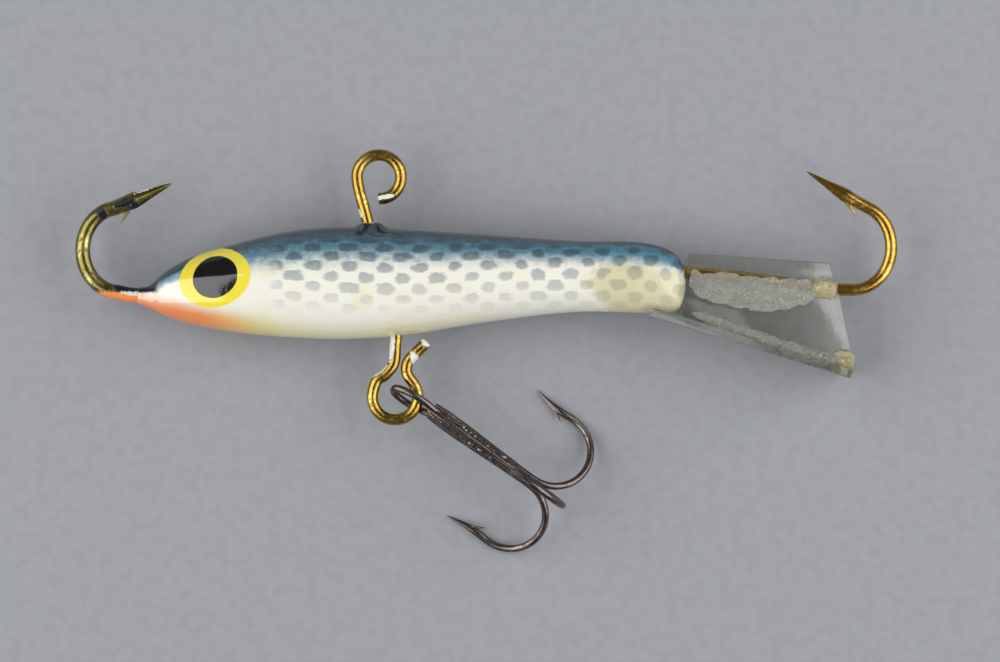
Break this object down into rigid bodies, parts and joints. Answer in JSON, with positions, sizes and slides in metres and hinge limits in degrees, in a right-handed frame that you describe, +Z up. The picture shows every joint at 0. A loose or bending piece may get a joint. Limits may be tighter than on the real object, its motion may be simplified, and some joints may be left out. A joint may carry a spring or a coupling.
{
  "type": "ice fishing jig",
  "caption": "Painted cast-metal minnow jig lying on its side, with single hooks at nose and tail, a treble on a belly loop, a line eye on the back and a clear tail fin.",
  "frame": {"origin": "on the table, under the middle of the jig's bounding box", "axes": "+X towards the tail, +Y towards the back, +Z up from the table through the side that shows"},
  "size_m": [0.0702, 0.0346, 0.0117],
  "materials": {
    "fish_paint": "blue back and cream sides under clear gloss lacquer, chipped at the wires",
    "bronzed_hook": "bronzed steel wire with worn dark paint above and orange paint below",
    "gilt_hook": "steel wire with a gold finish",
    "brass_wire": "tarnished bent brass wire with specks of white paint",
    "black_nickel": "dark nickelled wire, brazed, bright on the ridges",
    "clear_plastic": "clear sheet with cut edges and yellowed glue"
  },
  "bodies": {
    "jig": {"body": "fish_paint", "front_hook": "bronzed_hook", "rear_hook": "gilt_hook", "line_tie": "brass_wire", "belly_wire": "brass_wire", "tail_fin": "clear_plastic"},
    "treble": {"treble_hook": "black_nickel"}
  },
  "joints": [
    {"name": "treble_swing", "type": "hinge", "parent": "jig", "child": "treble", "pos_m": [-0.0078, -0.00391, 0.00395], "axis": [0, 0, 1], "range_deg": [-145, 35]}
  ]
}
